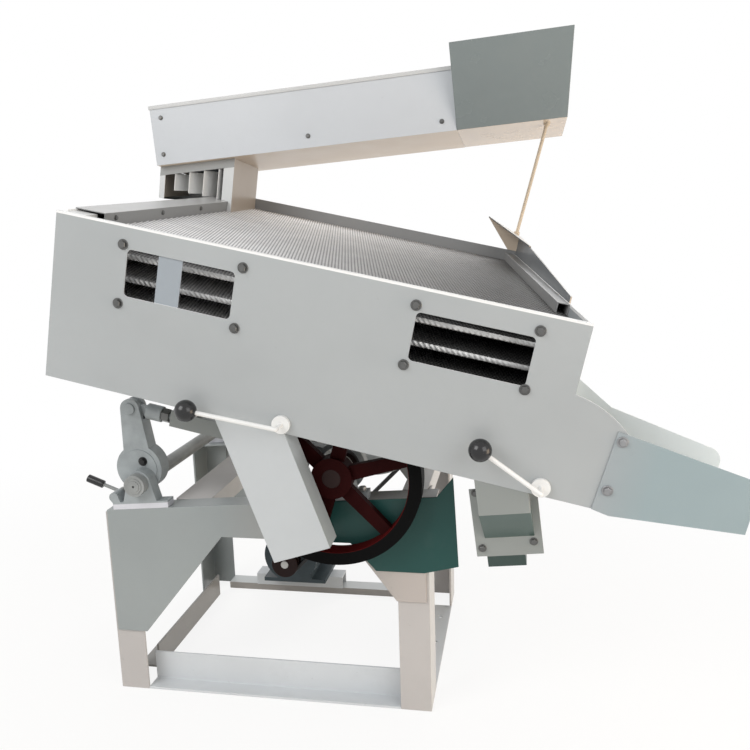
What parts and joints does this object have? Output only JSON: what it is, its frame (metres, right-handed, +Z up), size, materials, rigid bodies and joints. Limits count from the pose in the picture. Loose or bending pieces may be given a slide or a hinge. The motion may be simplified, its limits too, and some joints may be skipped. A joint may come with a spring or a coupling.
{
  "type": "gravity paddy separator",
  "caption": "Gravity paddy separator: tilted oscillating tray table on an angle-steel stand, with feed hopper, discharge chutes, flywheel and belt drive.",
  "frame": {"origin": "middle of the stand's footprint, on the floor", "axes": "+Z up, +X towards the low end of the table, +Y away from the front panel to the feed side"},
  "size_m": [1.5585, 1.1211, 1.6606],
  "materials": {
    "panel_paint": "glossy off-white paint",
    "chute_paint": "glossy grey-green paint",
    "stand_paint": "glossy warm white paint",
    "apron_paint": "dark green paint",
    "casting": "light grey painted casting",
    "wheel": "black rim and dark red spokes",
    "bright_steel": "bright zinc-plated steel",
    "tray_sheet": "galvanised sheet",
    "spacer_wood": "planed softwood",
    "motor_paint": "dark painted finned frame",
    "belt_rubber": "matt black",
    "black_ball": "gloss black"
  },
  "bodies": {
    "stand": {"leg_front_left": "stand_paint", "leg_front_right": "stand_paint", "leg_rear_left": "stand_paint", "leg_rear_right": "stand_paint", "rail_front": "stand_paint", "rail_rear": "stand_paint", "rail_left": "stand_paint", "rail_right": "stand_paint", "front_bearer": "stand_paint", "rear_bearer": "stand_paint", "front_apron": "apron_paint", "tie_beams": "stand_paint", "shaft_blocks": "casting", "rocker_blocks": "casting", "block_bolts": "bright_steel", "motor_body": "motor_paint", "motor_slide": "stand_paint", "v_belts": "belt_rubber"},
    "table": {"front_panel": "panel_paint", "rear_wall": "panel_paint", "left_wall": "panel_paint", "right_wall": "panel_paint", "tray_clamp": "panel_paint", "tray_channel": "panel_paint", "table_floor": "panel_paint", "discharge_trough": "panel_paint", "trays": "tray_sheet", "tray_spacers": "spacer_wood", "rod_ends": "bright_steel", "lock_nuts": "bright_steel", "link_beams": "stand_paint", "pitmans": "casting", "table_posts": "stand_paint", "left_chute": "panel_paint", "middle_outlet": "chute_paint", "right_chute": "chute_paint", "guard_plate": "panel_paint", "stay_rod": "bright_steel", "distributor": "panel_paint", "distributor_vanes": "panel_paint", "feed_trough": "panel_paint", "feed_lid": "panel_paint", "hopper": "panel_paint"},
    "rocker": {"rocker_shaft": "bright_steel", "rocker_arm_front": "casting", "rocker_arm_rear": "casting", "pivot_pins": "bright_steel"},
    "drive_shaft": {"eccentric_shaft": "bright_steel", "flywheel": "wheel", "driven_pulley": "casting"},
    "motor_rotor": {"motor_shaft": "bright_steel", "motor_pulley": "casting"},
    "gate_left": {"gate_lever_left": "bright_steel", "gate_knob_left": "black_ball"},
    "gate_right": {"gate_lever_right": "bright_steel", "gate_knob_right": "black_ball"},
    "clamp_front": {"clamp_handle_front": "bright_steel", "clamp_grip_front": "black_ball"},
    "clamp_rear": {"clamp_handle_rear": "bright_steel", "clamp_grip_rear": "black_ball"}
  },
  "joints": [
    {"name": "table_shake", "type": "slide", "parent": "stand", "child": "table", "axis": [0.9896, 0, 0.1437], "range_m": [-0.005, 0.005]},
    {"name": "rocker_swing", "type": "hinge", "parent": "stand", "child": "rocker", "pos_m": [-0.308, 0, 0.561], "axis": [0, 1, 0], "range_deg": [-1.7, 1.7]},
    {"name": "flywheel_spin", "type": "hinge", "parent": "stand", "child": "drive_shaft", "pos_m": [0.194, 0, 0.604], "axis": [0, 1, 0], "continuous": true},
    {"name": "motor_spin", "type": "hinge", "parent": "stand", "child": "motor_rotor", "pos_m": [-0.09, 0.14, 0.16], "axis": [0, 1, 0], "continuous": true},
    {"name": "gate_left_turn", "type": "hinge", "parent": "table", "child": "gate_left", "pos_m": [0.11151, -0.4637, 0.75363], "axis": [0.0127, 0.9984, 0.056], "range_deg": [-25, 25]},
    {"name": "gate_right_turn", "type": "hinge", "parent": "table", "child": "gate_right", "pos_m": [0.65853, -0.4637, 0.62915], "axis": [0.0127, 0.9984, 0.056], "range_deg": [-25, 25]},
    {"name": "clamp_front_turn", "type": "hinge", "parent": "stand", "child": "clamp_front", "pos_m": [-0.378, -0.283, 0.522], "axis": [0, 1, 0], "range_deg": [-10, 35]},
    {"name": "clamp_rear_turn", "type": "hinge", "parent": "stand", "child": "clamp_rear", "pos_m": [-0.378, 0.283, 0.522], "axis": [0, 1, 0], "range_deg": [-10, 35]}
  ],
  "couplings": [
    {"joint": "rocker_swing", "follows": "table_shake", "rad_per_m": 5.5286},
    {"joint": "motor_spin", "follows": "flywheel_spin", "ratio": 4.0986}
  ]
}
